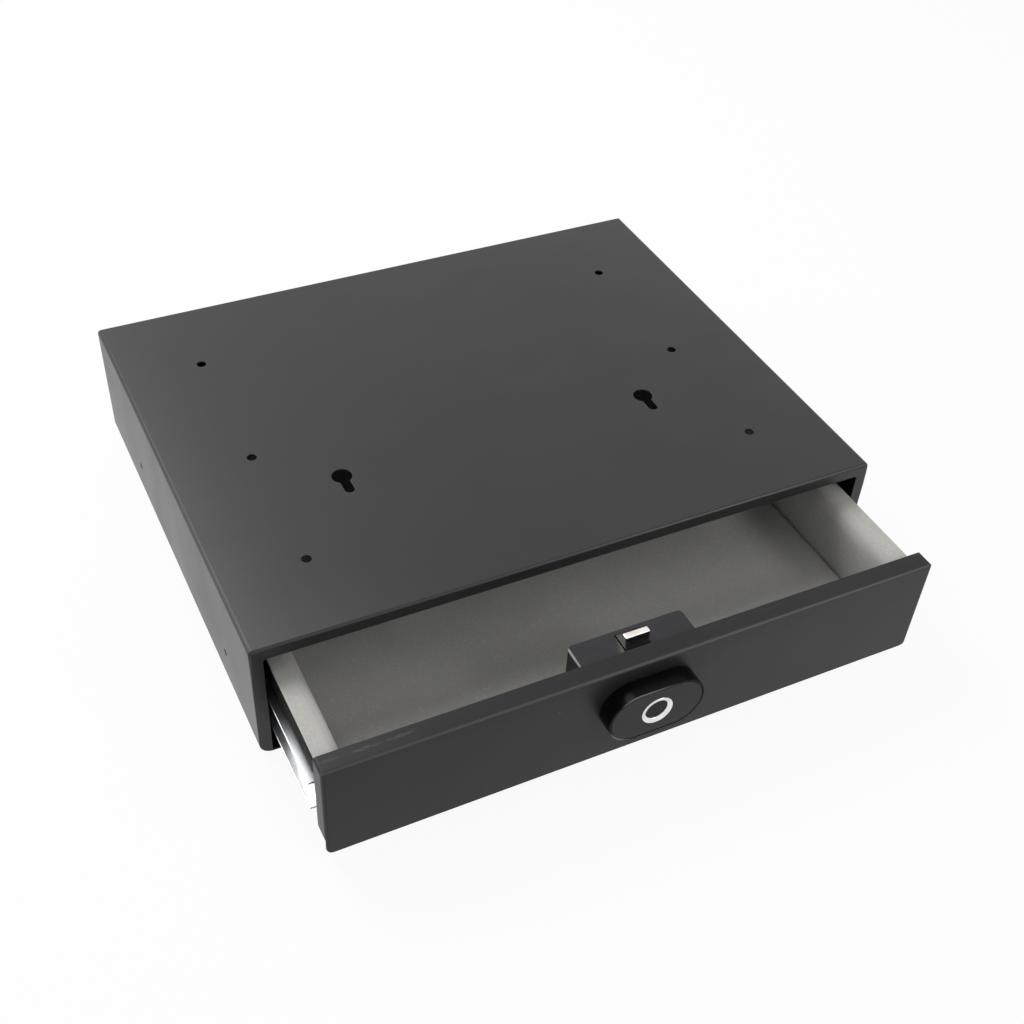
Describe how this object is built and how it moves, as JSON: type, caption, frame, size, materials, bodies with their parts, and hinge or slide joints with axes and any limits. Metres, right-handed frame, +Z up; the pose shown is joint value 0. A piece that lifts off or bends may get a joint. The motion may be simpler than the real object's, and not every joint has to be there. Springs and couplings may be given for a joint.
{
  "type": "under desk drawer safe",
  "caption": "Flat steel drawer safe for mounting under a desk, with a felt lined drawer on ball bearing slides, a sprung bolt and a fingerprint reader on the front.",
  "frame": {"origin": "centre of the case's underside", "axes": "+X to the right seen from the front, +Y from the front to the back, +Z up; the drawer opens along -Y"},
  "size_m": [0.4, 0.4086, 0.084],
  "materials": {
    "coat": "fine matt powder coat, charcoal black",
    "panel_coat": "smooth satin powder coat, charcoal black",
    "zinc": "bright zinc plate",
    "felt": "short grey felt over foam",
    "housing_plastic": "fine satin black plastic",
    "reader_plastic": "glossy black plastic",
    "bright_nickel": "bright nickel",
    "sensor_glass": "dark violet grey coated glass",
    "electronics": "moulded black plastic",
    "board_green": "green solder mask",
    "cell_wrap": "plain foil wrap",
    "copper_wire": "enamelled copper",
    "black_rubber": "matt black rubber"
  },
  "bodies": {
    "case": {"case_shell": "coat", "base_panel": "coat", "rear_panel": "coat", "strike_bracket": "zinc", "slide_case_member_left": "zinc", "slide_case_member_right": "zinc", "case_slide_screws": "zinc", "drawer_bumpers": "black_rubber"},
    "cage_left": {"ball_cage_left": "zinc", "balls_left": "bright_nickel"},
    "cage_right": {"ball_cage_right": "zinc", "balls_right": "bright_nickel"},
    "drawer": {"drawer_pan": "coat", "front_panel": "panel_coat", "front_panel_nuts": "zinc", "slide_drawer_member_left": "zinc", "slide_drawer_member_right": "zinc", "drawer_slide_screws": "zinc", "floor_lining": "felt", "side_lining_left": "felt", "side_lining_right": "felt", "rear_lining": "felt", "lock_housing": "housing_plastic", "housing_screws": "zinc", "battery_cover": "housing_plastic", "battery_holder": "housing_plastic", "battery_contacts": "bright_nickel", "batteries": "cell_wrap", "circuit_board": "board_green", "board_components": "electronics", "board_screws": "zinc", "solenoid_frame": "zinc", "solenoid_coil": "copper_wire", "latch_spring": "bright_nickel", "reader_body": "reader_plastic", "reader_cover": "reader_plastic", "sensor_ring": "bright_nickel", "sensor_window": "sensor_glass", "sensor_module": "electronics", "sensor_ribbon": "electronics", "reader_screws": "zinc"},
    "latch_bolt": {"latch_bolt": "bright_nickel", "plunger": "zinc", "plunger_pin": "bright_nickel"},
    "set_button": {"set_button": "housing_plastic"}
  },
  "joints": [
    {"name": "drawer_slide", "type": "slide", "parent": "case", "child": "drawer", "axis": [0, -1, 0], "range_m": [-0.08, 0.095]},
    {"name": "cage_left_roll", "type": "slide", "parent": "case", "child": "cage_left", "axis": [0, -1, 0], "range_m": [-0.04, 0.0475]},
    {"name": "cage_right_roll", "type": "slide", "parent": "case", "child": "cage_right", "axis": [0, -1, 0], "range_m": [-0.04, 0.0475]},
    {"name": "bolt_slide", "type": "slide", "parent": "drawer", "child": "latch_bolt", "axis": [0, 0, -1], "range_m": [0, 0.0065], "stiffness_N_per_m": 500, "springref_m": -0.005, "deforming": ["latch_spring"]},
    {"name": "button_press", "type": "slide", "parent": "drawer", "child": "set_button", "axis": [0, -1, 0], "range_m": [0, 0.001], "stiffness_N_per_m": 400, "springref_m": -0.001}
  ],
  "couplings": [
    {"joint": "cage_left_roll", "follows": "drawer_slide", "ratio": 0.5},
    {"joint": "cage_right_roll", "follows": "drawer_slide", "ratio": 0.5}
  ]
}
